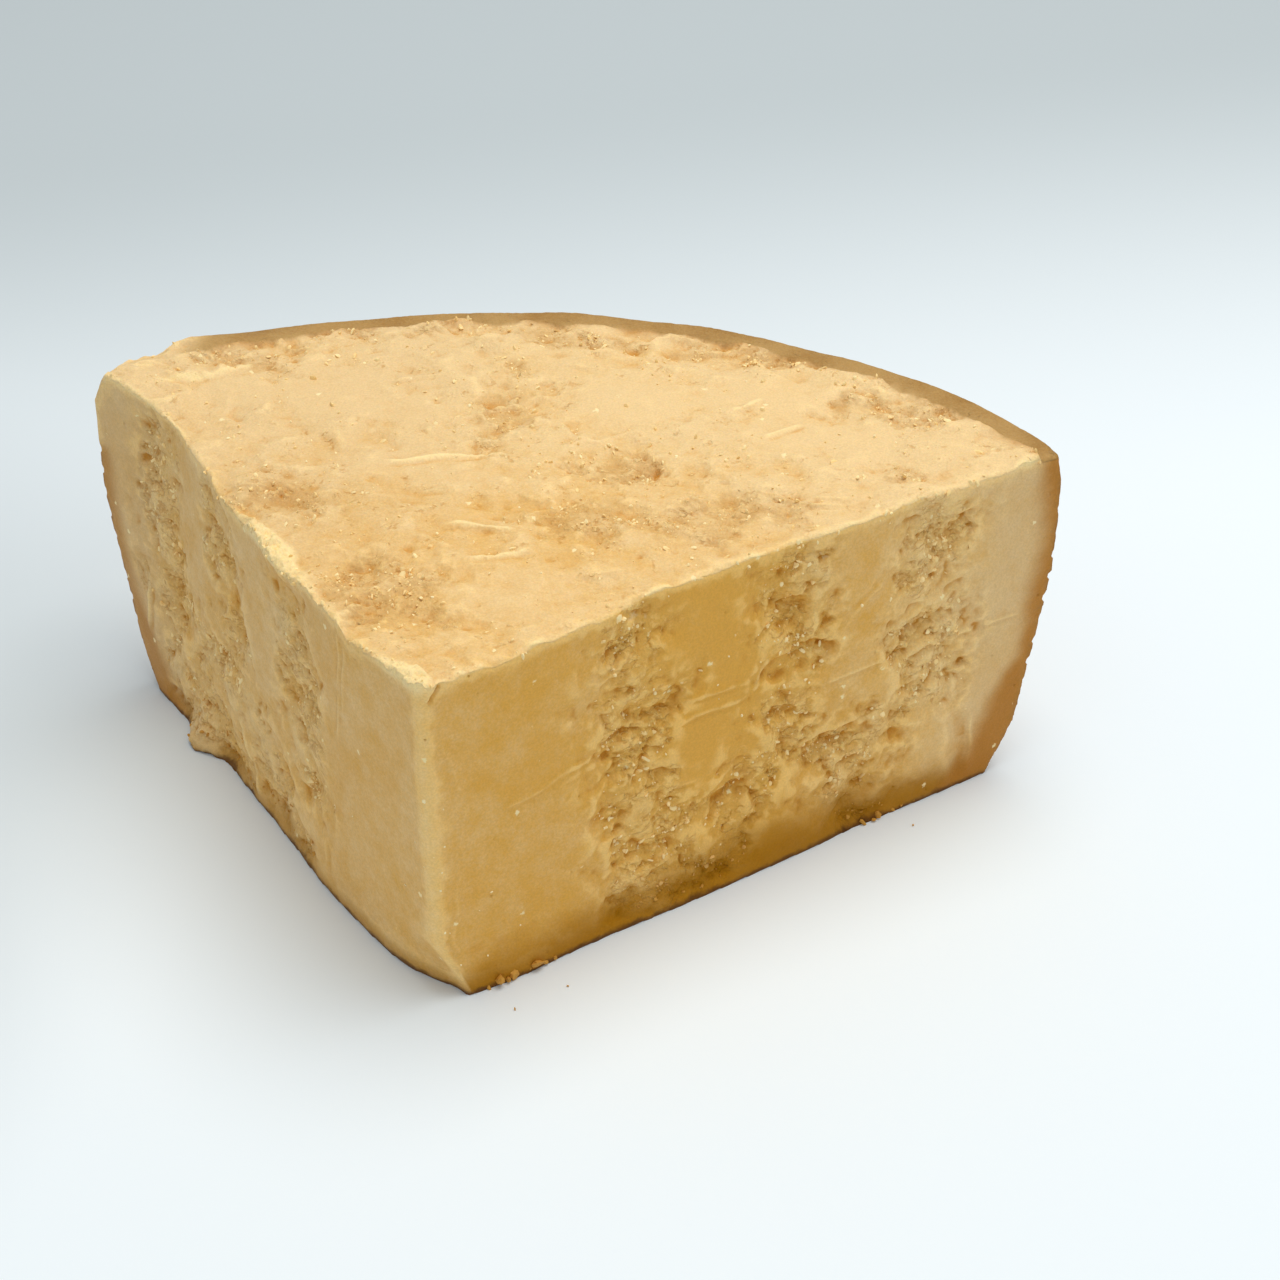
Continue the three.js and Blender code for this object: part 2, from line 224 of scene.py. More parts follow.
allBits = 0xFFFFFFFF
rowPrime, columnPrime, seedPrime, lastPrime = 374761393, 668265263, 974634777, 1274126177


def drawn(i, j, seed):  # numbers from 0 to 1 for a grid's cells, each point's cell, a row's length
    i0, j0 = i.min() - 1, j.min() - 1
    rows, columns = np.mgrid[i0 : i.max() + 3, j0 : j.max() + 3]
    h = (rows * rowPrime + columns * columnPrime + seed * seedPrime) & allBits
    h = ((h ^ (h >> 13)) * lastPrime) & allBits
    table = (h ^ (h >> 16)) / (allBits + 1)
    return table.ravel(), (i - i0) * rows.shape[1] + (j - j0), rows.shape[1]


def smooth(low, high, x):
    t = np.clip((x - low) / (high - low), 0, 1)
    return t * t * (3 - 2 * t)


def bell(x, middle, width):
    return np.exp(-(((x - middle) / width) ** 2))


def roundBell(x, y, x0, y0, width):
    return bell(np.hypot(x - x0, y - y0), 0, width)


def ovalAway(x, y, x0, y0, w, h):  # 1 on the oval's border
    return np.hypot((x - x0) / w, (y - y0) / h)


def noise(x, y, seed):  # soft hills, about -0.7 to 0.7
    i = np.floor(x).astype(np.int64)
    j = np.floor(y).astype(np.int64)
    fx = x - i
    fy = y - j
    table, place, row = drawn(i, j, seed)
    tx = np.cos(2 * np.pi * table)
    ty = np.sin(2 * np.pi * table)

    def corner(a, b):
        at = place + a * row + b
        return tx.take(at) * (fx - a) + ty.take(at) * (fy - b)

    sx = smooth(0, 1, fx)
    sy = smooth(0, 1, fy)
    low = corner(0, 0) * (1 - sx) + corner(1, 0) * sx
    high = corner(0, 1) * (1 - sx) + corner(1, 1) * sx
    return low * (1 - sy) + high * sy


def layered(x, y, seed):  # three octaves
    octaves = noise(x, y, seed) + 0.5 * noise(2 * x, 2 * y, seed + 1)
    return octaves + 0.25 * noise(4 * x, 4 * y, seed + 2)


def warped(x, y, *waves, kind=noise):  # moved by waves: how far, how long, seeds across and up
    wx, wy = x, y
    for far, long, seedX, seedY in waves:
        wx = wx + far * kind(x / long, y / long, seedX)
        wy = wy + far * kind(x / long, y / long, seedY)
    return wx, wy


def cellsRound(x, y, size, seed, count):  # each near cell: where it is, and what was drawn for it
    gx = x / size
    gy = y / size
    i = np.floor(gx).astype(np.int64)
    j = np.floor(gy).astype(np.int64)
    tables = []
    for k in range(count):
        table, place, row = drawn(i, j, seed + k)
        tables.append(table)
    for a in (-1, 0, 1):
        for b in (-1, 0, 1):
            at = place + a * row + b
            values = [table.take(at) for table in tables]
            yield gx - i - a - values[0], gy - j - b - values[1], values[2:]


def lumps(x, y, size, seed, lean=0.5, blend=0.06):  # packed and rounded, creased where two meet
    heights = []
    for dx, dy, (rise, turn) in cellsRound(x, y, size, seed, 4):
        sides = 0.8 * (turn - 0.5) * dx
        heights.append(0.6 * rise - 0.75 * (dx * dx + dy * dy) - lean * dy + sides)
    highest = np.maximum.reduce(heights)
    return highest + blend * np.log(sum(np.exp((h - highest) / blend) for h in heights))


def facets(x, y, size, seed, lean=0.5, blend=0.03):  # flat broken faces, each at its own level
    total = 0
    value = 0
    for dx, dy, (rise, turn, tip) in cellsRound(x, y, size, seed, 5):
        weight = np.exp(-(dx * dx + dy * dy) / blend)
        value += weight * (rise - 0.5 + (turn - 0.5) * dx + (tip - 0.5 - lean) * dy)
        total += weight
    return value / np.maximum(total, 1e-30)


def ledges(x, y, pitch, seed):  # ragged shelves: slowly out on the way down, sharply back
    far = 1.4 * pitch
    wave = layered(x / far, y / far, seed) + 0.3 * noise(4 * x / pitch, 4 * y / pitch, seed + 3)
    level = y / pitch + 1.3 * wave
    part = level - np.floor(level)
    return (1 - part) * smooth(0, 0.13, part) - 0.45


# What makes up the relief of a face

def insideOf(patches, x, y, seed):  # above 0 inside any of them, with a ragged border
    inside = np.full(x.shape, -9.0)
    for x0, y0, w, h in patches:
        inside = np.maximum(inside, 1 - ovalAway(x, y, x0, y0, w, h))
    ragged = 0.5 * noise(x / 14, y / 14, seed) + 0.32 * noise(x / 6, y / 6, seed + 1)
    return inside + ragged + 0.22 * noise(x / 2.5, y / 2.5, seed + 2)


def tornShare(face, x, y):  # where the cheese swells round a tear, and where it is torn
    inside = insideOf(face["tears"], x, y, face["seed"])
    wide = 0.3 + 0.7 * smooth(-0.3, 0.3, noise(x / 19, y / 19, face["seed"] + 3))
    return smooth(-0.45, 0.45, inside), smooth(-0.06, wide, inside)


def smoothShare(x, y):  # where the top broke smooth
    return smooth(-0.05, 0.4, insideOf(topFace["smooth"], x, y, topFace["smoothSeed"]))


def pocketDepth(face, x, y):
    wx, wy = warped(x, y, (2.2, 7, 81, 85), kind=layered)
    depth = np.zeros(x.shape)
    for x0, y0, w, h, d in face["pockets"]:
        share = 1 - smooth(0.5, 1.1, ovalAway(wx, wy, x0, y0, w, h))
        depth = np.maximum(depth, d * share)
    return depth


def roofDepth(face, x, y):
    wx, wy = warped(x, y, (2.6, 7, 88, 92), kind=layered)
    depth = np.zeros(x.shape)
    for x0, y0, reach, deep, tilt in face["roofs"]:
        across = (wx - x0) / reach
        below = y0 + tilt * (wx - x0) - 0.25 * reach * across**2 - wy
        share = smooth(-0.3, 0.6, below) * (1 - smooth(0, 1, below / reach))
        depth = np.maximum(depth, deep * share * np.sqrt(np.clip(1 - across**2, 0, 1)))
    return depth


def ridgeHeight(face, x, y):  # each ridge has a shallow furrow beside it
    wx, wy = warped(x, y, (1.8, 11, face["ridgeSeed"], face["ridgeSeed"] + 1))
    height = np.zeros(x.shape)
    for x0, y0, x1, y1, width, rise in face["ridges"]:
        length = math.hypot(x1 - x0, y1 - y0)
        dx, dy = (x1 - x0) / length, (y1 - y0) / length
        along = ((wx - x0) * dx + (wy - y0) * dy) / length
        across = (wx - x0) * -dy + (wy - y0) * dx
        ends = smooth(0, 0.2, along) * smooth(1, 0.8, along)
        furrow = 0.6 * bell(across, -1.6 * width, width)
        height += rise * ends * (bell(across, 0, width) - furrow)
    return height


def crag(x, y, seed, near, torn):  # smooth swells, and between them crumbly lumps and cracks
    wx, wy = warped(x, y, (4.5, 17, seed + 5, seed + 6), (1.6, 5, seed + 7, seed + 8))
    swell = lumps(wx, wy * 0.95, chunk["swellSize"], seed, 0.35, 0.08)
    jogX, jogY = 0.8 * noise(x / 2, y / 2, seed + 3), 0.8 * noise(x / 2, y / 2, seed + 4)
    lump = lumps(wx + jogX, wy + jogY, chunk["lumpSize"], seed + 2, 0.35, 0.06)
    crease = smooth(0.72, 0.5, swell)
    broken = 0.3 * crease + noise(x / 11, y / 11, seed + 9) + 0.3 * noise(x / 5, y / 5, seed + 11)
    broken = smooth(0.1, 0.45, broken)
    uneven = 1.5 * layered(wx / 12, wy / 10, seed + 15)
    relief = near * (chunk["swellHeight"] * (swell - 0.72) + uneven + 0.9)
    small = (0.4 + 1.3 * broken) * chunk["lumpHeight"] * (lump - 0.64)
    shelf = chunk["ledgeHeight"] * ledges(wx, wy, chunk["ledgePitch"], seed + 20)
    flake = chunk["flakeHeight"] * facets(wx, wy * 1.2, chunk["flakeSize"], seed + 25)
    small += broken * (shelf + flake)
    small -= chunk["crackDepth"] * smooth(0.5, 0.38, lump) * broken
    small += (0.1 + 0.2 * broken) * facets(x, y, chunk["grainSize"], seed + 30)
    relief += torn * small
    return np.where(relief < 0, chunk["hollowShare"] * relief, relief)


def cutSkin(x, y, seed):  # smooth cut cheese, with a few small holes and fine drag marks
    drag = 0.05 * noise(x / 30, y / 1.1, seed) + 0.2 * layered(x / 8, y / 8, seed + 3)
    grain = 0.06 * noise(x / 1.6, y / 1.6, seed + 5)
    return drag + grain - 0.6 * smooth(0.7, 0.8, layered(x / 2.8, y / 1.8, seed + 7))


def faceRelief(face, x, z):
    seed = face["seed"]
    near, torn = tornShare(face, x, z)
    kept = (1 - 0.7 * bell(z, chunk["height"], 7)) * smooth(-2, 5, z)  # less at top and foot
    main = kept * crag(x, z, seed + 10, near, torn)
    plain = (1 - torn) * (cutSkin(x, z, seed + 14) + ridgeHeight(face, x, z))
    hollows = 0.6 * roofDepth(face, x, z) * (0.4 + 0.6 * torn) + 0.4 * pocketDepth(face, x, z)
    return main + plain - hollows, torn


def faceSweep(face, along, z, foot):
    rise = np.clip(z / chunk["height"], 0, 1)
    low, high = (
        sum(by * bell(along, middle, width) for by, middle, width in face[name])
        for name in ("outAtFoot", "inAtTop")
    )
    uneven = 0.7 * noise(along / 40, z / 40, face["sweepSeed"])
    return low * (1 - rise) - high * rise**1.5 + foot + uneven


# The right face

def rightSweep(u, z):
    return faceSweep(rightFace, u, z, 3 * bell(u, 12, 28) * smooth(18, 0, z))


def rightRelief(u, z):
    return faceRelief(rightFace, u, z)


# The left face, fuller at its far end, with the foot of the front edge drawn in

def leftSweep(u, z):
    fuller = 2 * bell(u, 208, 30) * bell(z, 80, 45)
    return faceSweep(leftFace, u, z, fuller - 8.5 * bell(u, 0, 15) * smooth(27, 0, z))


def leftRelief(u, z):  # with a lip at the top edge and a lump at the foot
    lip = 2.6 * bell(u, 77, 13) * bell(z, chunk["height"], 5)
    rough = 1 + 0.4 * facets(u, z, 6, 58) + 0.25 * layered(u / 4, z / 4, 59)
    lump = 5 * bell(u, 152, 9) * bell(z, 2, 9) * rough
    relief, torn = faceRelief(leftFace, u, z)
    return leftFace["relief"] * relief + lip + lump, torn


# The broken top

def topSwell(x, y):
    corners = 3 * roundBell(x, y, -128, 160, 42) + 3 * roundBell(x, y, 140, 172, 50)
    back = 0.8 * bell(x, 12, 70) * smooth(150, 215, y)
    return corners + back + 1.6 * noise(x / 46, y / 46, 5) + 0.8 * noise(x / 20, y / 20, 6)


def rimShare(x, y):  # where the rim of rind shows, and how far each point is from the rind
    fromRind = sideDepth(x, y, np.float64(chunk["height"]))
    rimEdge = chunk["rimWidth"] + 3 * noise(x / 13, y / 13, 7) + 1.2 * noise(x / 4, y / 4, 8)
    onRim = 1 - smooth(rimEdge - 0.4, rimEdge + 1.2, fromRind)
    return onRim * smooth(-130, -118, x), fromRind


def crumblyEdge(x, y):  # along the left edge of the top, most at two places
    along = x * leftAlong[0] + y * leftAlong[1]
    across = -(x * leftOut[0] + y * leftOut[1]) + 1.2 * noise(x / 4, y / 4, 64)
    wide = 1.5 + 4 * bell(along, 84, 17) + 5 * bell(along, 7, 10)
    most = np.clip(bell(along, 84, 24) + bell(along, 7, 12) + 0.15, 0, 1)
    return smooth(wide + 1, wide - 1, across) * most


def topFine(x, y, torn):  # wrinkles, lumps and shelves, less the pits
    wx, wy = warped(x, y, (3, 8, 72, 73), (1.1, 2.4, 74, 75))
    broken = noise(x / 10, y / 10, 93) + 0.3 * noise(x / 4, y / 4, 95) + 0.25 * torn
    broken = smooth(-0.1, 0.5, broken)
    wrinkles = 1 - smooth(0, 0.35, np.abs(layered(wx / 26, wy / 20, 91)))
    fine = 2.4 * (lumps(wx, wy * 1.1, 13, 76, 0.2, 0.14) - 0.72) + 1.3 * wrinkles
    fine += (0.2 + 0.6 * broken) * (lumps(wx, wy * 1.3, 5, 78, 0.25, 0.12) - 0.7)
    shelves = 0.8 * ledges(wx, wy, 4, 80) + 0.6 * facets(wx, wy * 1.3, 2.4, 88)
    fine += broken * shelves + 0.12 * facets(x, y, 1.5, 89)
    pits = 0.6 * smooth(0.5, 0.68, layered(wx / 3.4, wy / 2.1, 94)) * broken
    ragged = smooth(-0.3, 0.25, layered(x / 3, y / 2.2, 97))
    for x0, y0, r, d in topFace["pits"]:
        away = np.hypot(wx - x0, 1.5 * (wy - y0)) / r
        pits += 0.85 * d * (1 - smooth(0.1, 1, away)) * ragged
    return fine - pits


def topRelief(x, y):
    onRim, fromRind = rimShare(x, y)
    half = 0.5 * chunk["rimStep"]
    near, torn = tornShare(topFace, x, y)
    rough = np.clip(0.65 + 0.45 * torn - 0.5 * smoothShare(x, y), 0.15, 1)
    rough = rough + 0.4 * smooth(24, 10, fromRind)
    height = 0.4 * crag(x, y, topFace["seed"] + 10, near, torn) + rough * topFine(x, y, torn)
    height = height + 0.9 * layered(x / 14, y / 14, 77)
    height += ridgeHeight(topFace, x, y) + half * smooth(40, 5, fromRind)
    height += 2.2 * roundBell(x, y, -29, 189, 5) + 1.5 * smooth(-105, -135, x)
    height += 1.3 * crumblyEdge(x, y) * (0.6 + ledges(x, y, 4, 66) + facets(x, y, 2.5, 68))
    height -= 4 * roundBell(x, y, -138, 156, 9)
    return height * (1 - onRim) + (topFace["rimHeight"] - half) * onRim, torn * (1 - onRim)


# The plain chunk

def reach(angle):  # from the front edge to the widest part of the side
    x0, y0 = chunk["wheelAxis"]
    along = np.sin(angle) * x0 + np.cos(angle) * y0
    return along + np.sqrt(chunk["wheelRadius"] ** 2 - x0 * x0 - y0 * y0 + along**2)


def sideDrop(z):  # how far the side draws in
    widest, bevel = chunk["widestHeight"], chunk["baseBevelHeight"]
    below = np.maximum(widest - z, 0) / widest
    above = np.maximum(z - widest, 0) / (chunk["height"] - widest)
    foot = np.maximum(bevel - z, 0) / bevel
    belly = chunk["sideBelly"] * below**1.15 + chunk["topBelly"] * above**2
    return belly + chunk["baseBevel"] * foot**1.3


def sideDepth(x, y, z):  # how far in from the side
    return reach(np.arctan2(x, y)) - sideDrop(z) - np.hypot(x, y)


def selectHeight(piece, height):
    bpy.ops.mesh.select_all(action="DESELECT")
    bpy.ops.object.mode_set(mode="OBJECT")
    for vertex in piece.data.vertices:
        vertex.select = abs(vertex.co.z - height) < 0.01 * mm
    bpy.ops.object.mode_set(mode="EDIT")


def addPlainChunk():
    x0, y0 = chunk["frontEdge"]
    axis = Vector((x0 + chunk["wheelAxis"][0], y0 + chunk["wheelAxis"][1], 0)) * mm
    height = chunk["height"] * mm
    bpy.ops.object.select_all(action="DESELECT")
    bpy.ops.mesh.primitive_cylinder_add(
        vertices=chunk["wheelSides"], radius=chunk["wheelRadius"] * mm, depth=height,
        end_fill_type="NGON", location=axis + Vector((0, 0, height / 2)),
    )
    piece = bpy.context.object
    piece.name = piece.data.name = "cheeseBody"
    bpy.ops.object.transform_apply(location=True, rotation=True, scale=True)
    bpy.ops.object.mode_set(mode="EDIT")
    bpy.ops.mesh.select_mode(type="VERT")
    for level in chunk["sideLevels"]:
        bpy.ops.mesh.select_all(action="SELECT")
        bpy.ops.mesh.bisect(plane_co=(0, 0, level * mm), plane_no=(0, 0, 1))
    for level in [0, *chunk["sideLevels"], chunk["height"]]:
        selectHeight(piece, level * mm)
        share = 1 - float(sideDrop(np.float64(level))) / chunk["wheelRadius"]
        bpy.ops.transform.resize(value=(share, share, 1), center_override=axis)
    for outward in (rightOut, leftOut):
        bpy.ops.mesh.select_all(action="SELECT")
        bpy.ops.mesh.bisect(
            plane_co=(x0 * mm, y0 * mm, 0), plane_no=outward, use_fill=True, clear_outer=True
        )
    bpy.ops.object.mode_set(mode="OBJECT")
    return piece


def applyModifier(piece, kind, **settings):
    bpy.ops.object.select_all(action="DESELECT")
    bpy.context.view_layer.objects.active = piece
    piece.select_set(True)
    modifier = piece.modifiers.new(kind, kind)
    for name, value in settings.items():
        setattr(modifier, name, value)
    bpy.ops.object.modifier_apply(modifier=modifier.name)


def placesOf(piece):  # from the foot of the front edge
    co = np.zeros(len(piece.data.vertices) * 3)
    piece.data.vertices.foreach_get("co", co)
    return co.reshape(-1, 3) / mm - [*chunk["frontEdge"], 0]


def setPlaces(piece, p):
    co = (p + [*chunk["frontEdge"], 0]) * mm
    piece.data.vertices.foreach_set("co", co.ravel())
    piece.data.update()


def normalsOf(piece):
    normals = np.zeros(len(piece.data.vertices) * 3)
    piece.data.vertices.foreach_get("normal", normals)
    return normals.reshape(-1, 3)


# Wear and relief on the plain chunk

def roundEdges(p, depths, r):
    near = [np.maximum(r - depth, 0) for depth in depths]
    far = np.sqrt(sum(n * n for n in near))
    pull = np.where(far > r, 1 - r / np.maximum(far, 1e-6), 0)
    for outward, n in zip(outwards, near):
        p -= (n * pull)[:, None] * outward


def knockOff(p, through, outward):
    outward = np.array(outward) / np.linalg.norm(outward)
    rough = 0.5 * layered(p[:, 1] / 5, p[:, 2] / 5, 97)
    beyond = (p - through) @ outward - rough
    p -= np.maximum(beyond, 0)[:, None] * outward


def reliefWhere(near, faceFunction, a, b):  # worked out only where it counts
    relief = np.zeros(near.shape)
    relief[near] = faceFunction(a[near], b[near])[0]
    return relief


def chipShare(x, z):  # where the rind broke off the left back corner
    away = ovalAway(x, z, -142, 122, 24, 32) + 0.25 * layered(x / 12, z / 12, 133)
    return 1 - smooth(0.88, 1.06, away)


def rindSkin(p):  # coarse dry skin with rows of dimples, every second row shifted
    around = np.arctan2(p[:, 0], p[:, 1]) * chunk["wheelRadius"]
    z = p[:, 2]
    shift = 0.5 * np.floor(z / chunk["dimpleRow"])
    row = np.sin(np.pi * (around / chunk["dimplesApart"] + shift))
    row = row * np.sin(np.pi * z / chunk["dimpleRow"])
    faded = smooth(-0.25, 0.2, noise(around / 34, z / 26, 101))
    faded = faded * smooth(14, 26, z) * smooth(104, 92, z)
    dents = chunk["dimpleDepth"] * faded * smooth(0.2, 0.9, np.abs(row))
    coarse = 0.5 * layered(around / 9, z / 4, 103) + 0.25 * layered(around / 2.4, z / 2.4, 107)
    return -chunk["rindShrink"] - dents + chunk["rindRoughness"] * coarse


def weather(piece):
    p = placesOf(piece)
    x, y, z = p.T
    u, v = p @ rightAlong, p @ leftAlong
    depths = [-(p @ rightOut), -(p @ leftOut), chunk["height"] - z]
    right, left, top = depths
    deep = chunk["reliefDepth"]
    reliefs = [
        reliefWhere(right < deep, rightRelief, u, z),
        reliefWhere(left < deep, leftRelief, v, z),
        reliefWhere(top < deep, topRelief, x, y),
    ]
    sweeps = [rightSweep(u, z), leftSweep(v, z), topSwell(x, y)]
    skin = rindSkin(p) * (1 - smooth(0, chunk["rindDepth"], sideDepth(x, y, z)))
    skin = skin * smooth(0, 3, z) * (1 - chipShare(x, z))
    angle = np.arctan2(x, y)
    radial = np.stack([np.sin(angle), np.cos(angle), np.zeros(len(p))], 1)
    moved = p.copy()
    roundEdges(moved, depths[:2], chunk["frontRound"] * (0.3 + 0.7 * smooth(0, 24, z)))
    uneven = 1 + 0.5 * noise((x + y) / 9, z / 9 + x / 15, 95)
    rounded = [-(moved @ rightOut), -(moved @ leftOut), top]
    roundEdges(moved, rounded, chunk["edgeRound"] * uneven)
    for outward, sweep, relief, depth in zip(outwards, sweeps, reliefs, depths):
        by = sweep * (1 - smooth(0, chunk["sweepDepth"], depth))
        by = by + relief * (1 - smooth(0, deep, depth))
        moved += by[:, None] * outward
    moved += skin[:, None] * radial
    knockOff(moved, *chunk["leftChip"])
    knockOff(moved, *chunk["rightChip"])
    moved[:, 2] = np.maximum(moved[:, 2], 0)
    setPlaces(piece, moved)


# What the material reads at each point

def hollowness(piece, p):  # how far each point lies below its smoothed neighbourhood, which sets painted shade in hollows and painted highlight on raised points
    mesh = piece.data
    edges = np.zeros(len(mesh.edges) * 2, np.int32)
    mesh.edges.foreach_get("vertices", edges)
    a, b = edges.reshape(-1, 2).T
    n = len(p)
    count = np.bincount(a, minlength=n) + np.bincount(b, minlength=n)
    soft = p.copy()
    for _ in range(chunk["smoothing"]):
        total = np.stack(
            [np.bincount(a, soft[b, k], n) + np.bincount(b, soft[a, k], n) for k in range(3)], 1
        )
        soft = 0.5 * soft + 0.5 * total / count[:, None]
    return ((soft - p) * normalsOf(piece)).sum(1)


def goldOn(x, y, u, v, isTop, isRight, relief, torn):  # 0 pale cream, 1 golden; golder in low places and paler on raised ones as painted shade, and the left face paler towards its far end as painted light
    wx, wy = warped(x, y, (8, 25, 121, 122))
    top = 0.12 + 0.3 * smooth(150, 60, wy) - 0.25 * smooth(60, 140, wx)
    # painted shade: golder in low places, paler on raised ones
    top -= 0.3 * np.clip(relief / 1.5, -1, 1)
    top += 0.25 * bell(ovalAway(wx, wy, -66, 84, 24, 13), 0, 1) + 0.2 * roundBell(wx, wy, 0, 85, 45)
    right = 1.02 + 0.4 * bell(u, 100, 22) - 0.2 * smooth(115, 150, u)
    right = right - 0.3 * smooth(150, 205, u) - 0.15 * bell(u, 0, 16)
    # paler towards the far end of the left face, as painted light
    left = 0.75 - 0.1 * smooth(40, 90, v)
    # golder in low places and paler on raised ones, as painted shade
    face = np.where(isRight, right, left) - 0.2 * np.clip(relief / 3, -1, 1) - 0.1 * torn
    return np.where(isTop, top, face)


def edgeHighlightAndCrumbly(right, left, top, p):  # painted highlight along the top edges, and evenly so down the front edge, with the paler crumbly cheese of the left edge
    x, y, z = p.T
    width = 0.8 + 0.7 * layered((x + y) / 8, (z + x) / 8, 111)
    front = np.hypot(np.maximum(right, 0), np.maximum(left, 0))
    share = (0.36 - 0.14 * smooth(60, 110, z)) * (1 - smooth(0, chunk["frontHighlightWidth"], front))
    for depth, most in ((right, chunk["rightEdgeHighlight"]), (left, chunk["leftEdgeHighlight"])):
        beyond = np.hypot(np.maximum(depth - 0.5, 0), 1.6 * np.maximum(top, 0))
        beyond = beyond / np.maximum(width, 0.3)
        share = np.maximum(share, most * (1 - smooth(0.1, 1.1, beyond)))
    return np.maximum(share, chunk["paleCrumbly"] * crumblyEdge(x, y) * smooth(3.5, 1, top))


def noteSurface(piece):
    p = placesOf(piece)
    x, y, z = p.T
    u, v = p @ rightAlong, p @ leftAlong
    right, left = rightSweep(u, z) - p @ rightOut, leftSweep(v, z) - p @ leftOut
    top = chunk["height"] + topSwell(x, y) - z
    side = sideDepth(x, y, z)
    up = normalsOf(piece)[:, 2]
    deep = chunk["reliefDepth"]
    isTop = (top < chunk["topDepth"]) & (up > 0.4 - 0.06 * np.minimum(right, left))
    isRight = (right < deep) & (right < left) & ~isTop
    isLeft = (left < deep) & ~isRight & ~isTop
    relief, torn, raised = np.zeros((3, len(p)))
    for face, function, mask, a, b in (
        (topFace, topRelief, isTop, x, y),
        (rightFace, rightRelief, isRight, u, z),
        (leftFace, leftRelief, isLeft, v, z),
    ):
        relief[mask], torn[mask] = function(a[mask], b[mask])
        raised[mask] = ridgeHeight(face, a[mask], b[mask]) - face["ridgeHighlightFrom"]
    wavy = layered(x / 18 + z / 25, y / 18 - z / 25, 131)
    whole = 1 - chipShare(x, z)
    skin = np.maximum(1 - smooth(0.8, 2, side), 1 - smooth(0.3, 1.2, z)) * whole
    stain = bell(ovalAway(x, y, -60, 84, 20, 13), 0, 1) + 0.7 * roundBell(x, y, 39, 126, 7)
    stain += 0.5 * roundBell(x, y, -27, 187, 5)
    brown = (1 - smooth(2, 13, side + 4 * wavy - 13 * smooth(55, 0, z))) * whole
    cream = 1 - smooth(16, 40, side + 9 * wavy)
    # golden-brown band up from the foot, less on raised puffs: partly the cheese browning towards
    # the rind of the base, partly painted shadow
    reachUp = np.where(isLeft, 10, 16 + 14 * bell(u, 115, 60))
    puffs = 1 - 0.6 * torn * smooth(-1, 1.5, relief)
    low = (1 - smooth(0.15, 1, (z + 4 * wavy) / reachUp)) * puffs
    topTorn = np.maximum(torn, 0.5 - 0.35 * smoothShare(x, y) + 0.5 * stain)
    # painted highlight on raised knife ridges
    ridges = smooth(0, 0.4, raised) * np.where(isTop, 0.75, 0.4)
    shares = {
        "torn": np.where(isTop, topTorn, torn),
        "gold": goldOn(x, y, u, v, isTop, isRight, relief, torn),
        "stain": np.where(isTop, 0.3 + 0.3 * torn + 0.3 * stain, 0),
        "nearRind": brown * np.where(isLeft, 0.8, 1),
        "greyed": np.where(isTop, 0.5 + 0.4 * smooth(10, -60, x), cream),
        "top": isTop,
        "footRindAndShade": low * np.where(isLeft, 0.7, 1),
        "skin": skin,
        "rim": np.where(top < 6, rimShare(x, y)[0], 0) * smooth(0.2, 0.6, up),
        "hollow": hollowness(piece, p) * np.where(isTop, 0.6, 1),
        "edge": np.maximum(edgeHighlightAndCrumbly(right, left, top, p), ridges),
    }
    for name, values in shares.items():
        layer = piece.data.attributes.new(name, "FLOAT", "POINT")
        layer.data.foreach_set("value", np.asarray(values, np.float32))


# Materials

def linear(red, green, blue):
    return tuple(((c / 255 + 0.055) / 1.055) ** 2.4 for c in (red, green, blue)) + (1,)


class Maker:  # adds nodes and wires them
    def __init__(self, name):
        self.material = bpy.data.materials.new(name)
        self.material.use_nodes = True
        self.tree = self.material.node_tree
        self.tree.nodes.clear()

    def node(self, kind, values=None, **settings):
        made = self.tree.nodes.new("ShaderNode" + kind)
        for name, value in settings.items():
            setattr(made, name, value)
        for key, value in (values or {}).items():
            socket = made.inputs[key]
            if isinstance(value, bpy.types.NodeSocket):
                self.tree.links.new(value, socket)
            else:
                socket.default_value = value
        return made

    def mix(self, share, a, b):
        return self.node("Mix", {0: share, 6: a, 7: b}, data_type="RGBA").outputs[2]

    def math(self, operation, *values):
        return self.node("Math", dict(enumerate(values)), operation=operation).outputs[0]

    def plus(self, a, b):
        return self.math("ADD", a, b)

    def times(self, a, b):
        return self.math("MULTIPLY", a, b)

    def timesPlus(self, a, b, c):
        return self.math("MULTIPLY_ADD", a, b, c)

    def vector(self, operation, *values, scale=1.0):
        sockets = {**dict(enumerate(values)), 3: scale}
        return self.node("VectorMath", sockets, operation=operation).outputs[0]

    def ramp(self, value, low, high, start=0.0, end=1.0):
        sockets = {0: value, 1: low, 2: high, 3: start, 4: end}
        return self.node("MapRange", sockets, interpolation_type="SMOOTHSTEP").outputs[0]

    def attribute(self, name):
        return self.node("Attribute", attribute_name=name).outputs["Fac"]

    def place(self):
        return self.node("TexCoord").outputs["Object"]

    def apart(self, vector):
        return self.node("SeparateXYZ", {0: vector}).outputs

    def noise(self, place, scale, detail=3.0, roughness=0.55):
        sockets = {"Vector": place, "Scale": scale, "Detail": detail, "Roughness": roughness}
        return self.node("TexNoise", sockets).outputs["Fac"]

    def finish(self, sockets):
        shader = self.node("BsdfPrincipled", sockets)
        self.node("OutputMaterial", {"Surface": shader.outputs[0]})
        return self.material


